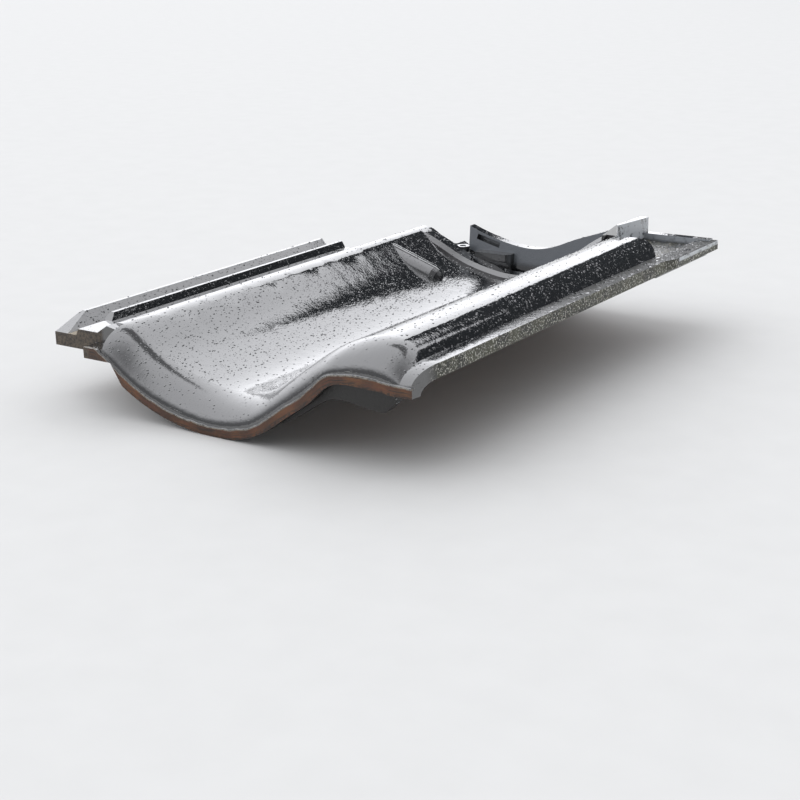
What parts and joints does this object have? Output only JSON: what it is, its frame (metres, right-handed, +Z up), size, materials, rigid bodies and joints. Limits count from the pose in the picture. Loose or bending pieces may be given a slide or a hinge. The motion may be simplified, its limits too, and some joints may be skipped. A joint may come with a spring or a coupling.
{
  "type": "clay roof tile",
  "caption": "Glazed interlocking clay pantile: a deep pan and a roll, a turned-down nose, a ribbed side lock and batten nibs under the head.",
  "frame": {"origin": "centre of the tile's footprint, on the floor it lies on", "axes": "+X across the tile from the side lock to the roll, +Y from the nose to the head, +Z up off the glazed face"},
  "size_m": [0.276, 0.36, 0.072],
  "materials": {
    "glazed_clay": "glossy"
  },
  "bodies": {
    "root": {"roof_tile": "glazed_clay"}
  },
  "joints": []
}
